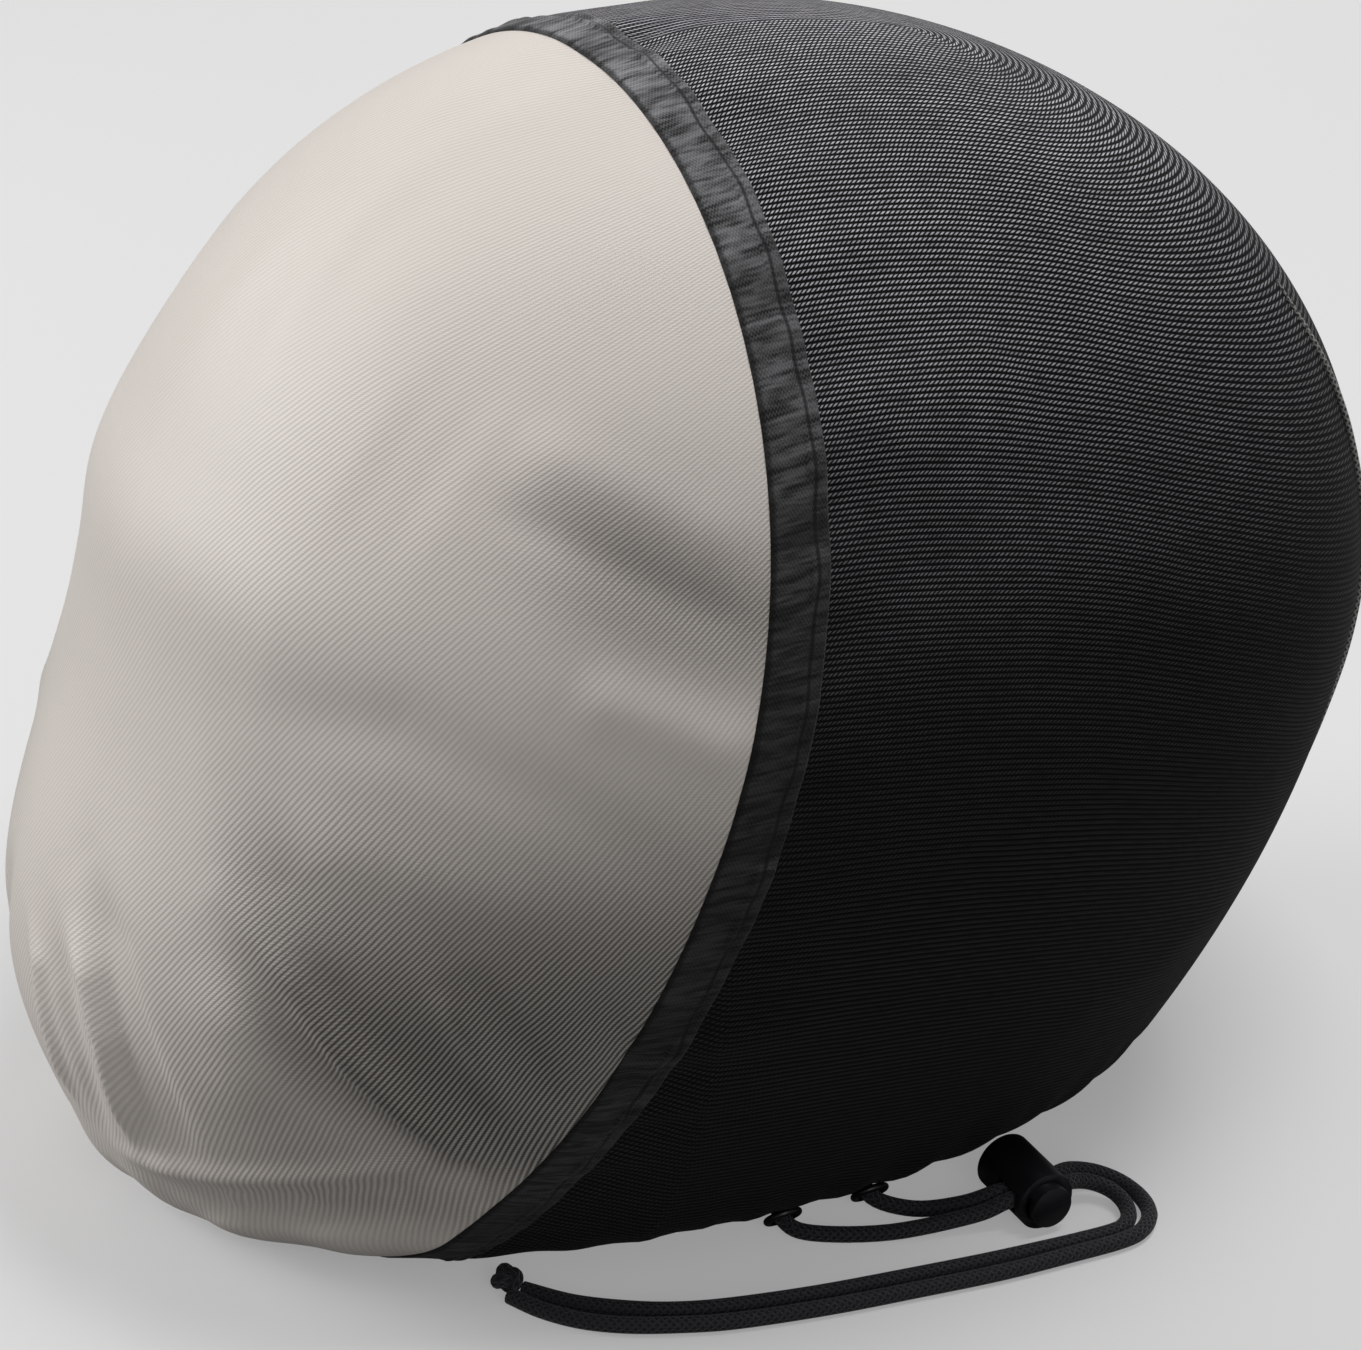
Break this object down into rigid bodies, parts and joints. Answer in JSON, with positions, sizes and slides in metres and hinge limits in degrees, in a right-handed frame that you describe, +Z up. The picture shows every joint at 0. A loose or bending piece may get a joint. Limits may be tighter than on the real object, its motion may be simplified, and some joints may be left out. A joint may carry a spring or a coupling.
{
  "type": "modular helmet in drawstring bag",
  "caption": "Modular motorcycle helmet with flip-up chin bar, visor and inner sun visor, padding and strap, kept in a two-tone stretch drawstring bag",
  "frame": {"origin": "on the floor under the middle of the bagged helmet's bounding box", "axes": "+Z up, -Y where the face opening looks, +X the wearer's left side"},
  "size_m": [0.2552, 0.3415, 0.2732],
  "materials": {
    "shell_paint": "satin",
    "foam": "matt",
    "comfort_fabric": "matt",
    "trim_rubber": "matt",
    "matt_black_plastic": "matt",
    "red_plastic": "gloss",
    "steel": "brushed",
    "clear_visor": "gloss",
    "tinted_visor": "gloss",
    "webbing": "matt",
    "grey_knit": "matt",
    "black_knit": "matt",
    "piping_cloth": "matt",
    "black_cord": "matt",
    "eyelet_metal": "satin"
  },
  "bodies": {
    "helmet": {"outer_shell": "shell_paint", "foam_liner": "foam", "crown_pad": "comfort_fabric", "cheek_pad_left": "comfort_fabric", "cheek_pad_right": "comfort_fabric", "neck_roll": "comfort_fabric", "rim_trim": "trim_rubber", "eye_port_gasket": "trim_rubber", "latch_pins": "steel", "sun_visor_pins": "steel", "pivot_base_left": "matt_black_plastic", "pivot_base_right": "matt_black_plastic", "top_vent_duct": "matt_black_plastic", "rear_vent": "matt_black_plastic", "chin_strap_left": "webbing", "chin_strap_right": "webbing", "buckle_housing": "matt_black_plastic", "buckle_tongue": "steel", "strap_rivets": "steel"},
    "chin": {"chin_bar": "shell_paint", "chin_bar_foam": "foam", "chin_curtain": "matt_black_plastic", "breath_deflector": "matt_black_plastic", "latch_claws": "steel", "button_spring": "steel", "pivot_cover_left": "matt_black_plastic", "pivot_cover_right": "matt_black_plastic"},
    "chin_vent": {"chin_vent_slider": "matt_black_plastic"},
    "release": {"release_button": "red_plastic"},
    "clear_shield": {"visor": "clear_visor"},
    "inner_shield": {"sun_visor": "tinted_visor"},
    "shield_lever": {"sun_visor_lever": "red_plastic"},
    "top_vent": {"top_vent_slider": "shell_paint"},
    "strap_lever": {"buckle_lever": "red_plastic"},
    "lock_plunger": {"cord_lock_button": "matt_black_plastic"},
    "cloth_bag": {"bag_front_panel": "grey_knit", "bag_rear_panel": "black_knit", "bag_seam_band": "black_knit", "bag_hem_casing": "black_knit", "bag_side_piping": "piping_cloth", "cord_eyelets": "eyelet_metal", "drawcord_short_ends": "black_cord", "cord_lock_body": "matt_black_plastic", "cord_lock_spring": "steel", "drawcord_long_ends": "black_cord", "cord_end_knot": "black_cord"}
  },
  "joints": [
    {"name": "bag_pull_on", "type": "slide", "parent": "helmet", "child": "cloth_bag", "axis": [-0.35, 0, -0.9367], "range_m": [-0.31, 0], "deforming": ["bag_front_panel", "bag_rear_panel", "bag_seam_band", "bag_hem_casing", "bag_side_piping", "cord_eyelets", "drawcord_short_ends", "drawcord_long_ends", "cord_end_knot"]},
    {"name": "chin_bar_flip", "type": "hinge", "parent": "helmet", "child": "chin", "pos_m": [0, -0.0038, 0.132], "axis": [-1, 0, 0], "range_deg": [0, 80]},
    {"name": "visor_lift", "type": "hinge", "parent": "helmet", "child": "clear_shield", "pos_m": [0, -0.0038, 0.132], "axis": [-1, 0, 0], "range_deg": [0, 45]},
    {"name": "sun_lever_slide", "type": "slide", "parent": "helmet", "child": "shield_lever", "axis": [0, 1, 0], "range_m": [0, 0.02]},
    {"name": "sun_visor_drop", "type": "hinge", "parent": "helmet", "child": "inner_shield", "pos_m": [0, -0.0038, 0.132], "axis": [1, 0, 0], "range_deg": [0, 42]},
    {"name": "release_button_press", "type": "slide", "parent": "chin", "child": "release", "axis": [0, 0, 1], "range_m": [0, 0.003], "stiffness_N_per_m": 600, "springref_m": -0.002, "deforming": ["button_spring"]},
    {"name": "chin_vent_slide", "type": "slide", "parent": "chin", "child": "chin_vent", "axis": [0, 0, 1], "range_m": [0, 0.006]},
    {"name": "top_vent_slide", "type": "slide", "parent": "helmet", "child": "top_vent", "axis": [0, 0.9903, -0.1392], "range_m": [0, 0.006]},
    {"name": "buckle_lever_lift", "type": "hinge", "parent": "helmet", "child": "strap_lever", "pos_m": [0.028, -0.0118, 0.01], "axis": [0, 1, 0], "range_deg": [0, 35], "stiffness_Nm_per_rad": 0.05, "springref_deg": -11.46},
    {"name": "cord_lock_press", "type": "slide", "parent": "cloth_bag", "child": "lock_plunger", "axis": [-1, 0, 0], "range_m": [0, 0.003], "stiffness_N_per_m": 500, "springref_m": -0.002, "deforming": ["cord_lock_spring"]}
  ],
  "couplings": [
    {"joint": "sun_visor_drop", "follows": "sun_lever_slide", "rad_per_m": 36.565}
  ]
}
